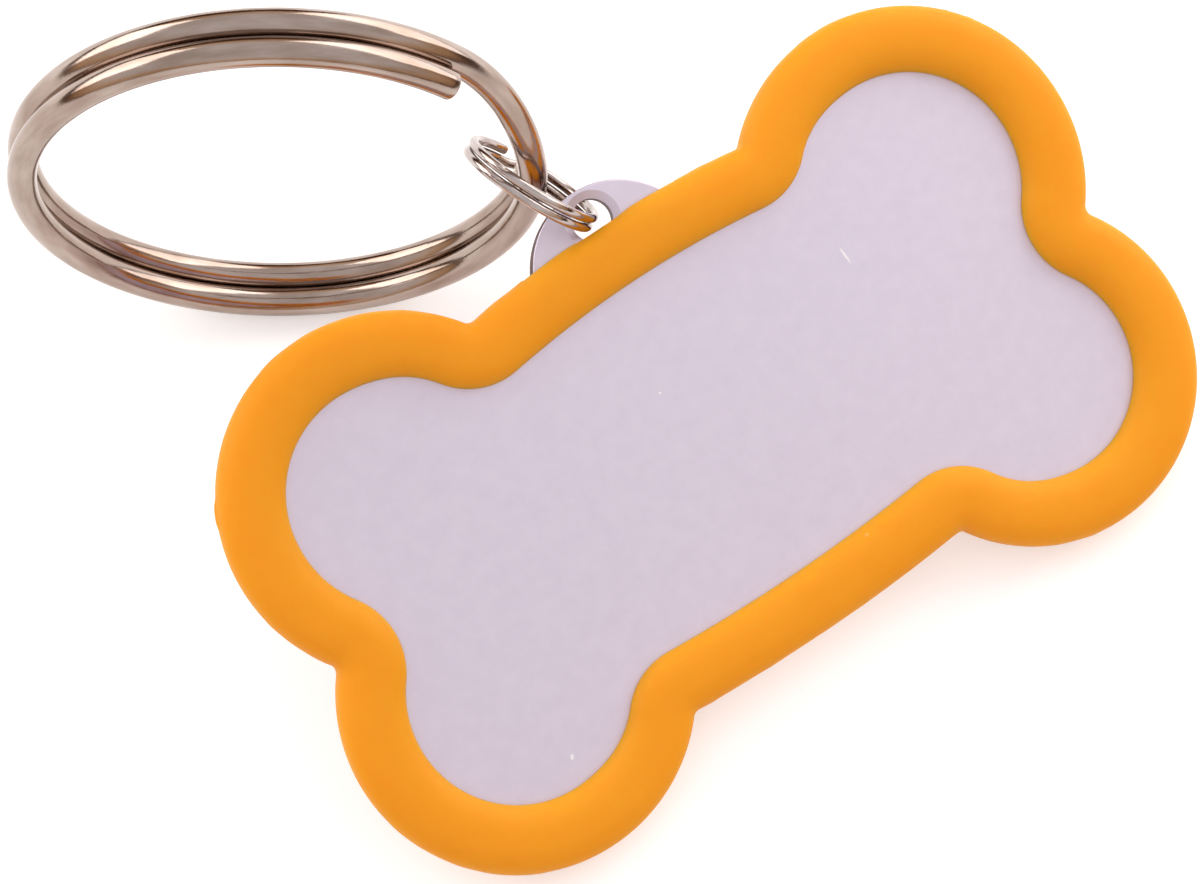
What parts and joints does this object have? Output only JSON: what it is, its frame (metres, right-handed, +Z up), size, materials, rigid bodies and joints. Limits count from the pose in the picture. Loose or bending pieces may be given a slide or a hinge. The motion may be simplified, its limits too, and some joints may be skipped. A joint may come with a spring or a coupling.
{
  "type": "pet id tag",
  "caption": "Bone-shaped metal pet tag in a soft silicone rim, with a small split link through its ear and a large split ring for the collar.",
  "frame": {"origin": "middle of the box's base, on the table that the part stands on: it rests on the two lower lobes of the rim and on the edge of the upright split ring", "axes": "+X along the bone's length, to the right as seen from its front; +Y from the lower lobes towards the ear and the ring; +Z up, out of the bone's front face, which is tilted 21 degrees"},
  "size_m": [0.05, 0.044, 0.0271],
  "materials": {
    "satin_metal": "satin, finely mottled, lavender grey",
    "silicone": "matte moulded silicone, orange",
    "nickel_link": "nickel plated, polished",
    "nickel_ring": "nickel plated, polished"
  },
  "bodies": {
    "tag": {"plate": "satin_metal", "rim": "silicone"},
    "link": {"split_link": "nickel_link"},
    "ring": {"split_ring": "nickel_ring"}
  },
  "joints": [
    {"name": "link_swing", "type": "hinge", "parent": "tag", "child": "link", "pos_m": [0, 0.00403, 0.01097], "axis": [0, -0.3584, 0.9336], "range_deg": [-85, 10]},
    {"name": "ring_travel", "type": "hinge", "parent": "link", "child": "ring", "pos_m": [-0.01234, 0.01395, 0.01357], "axis": [-0.5125, -0.8564, 0.0628], "continuous": true}
  ]
}
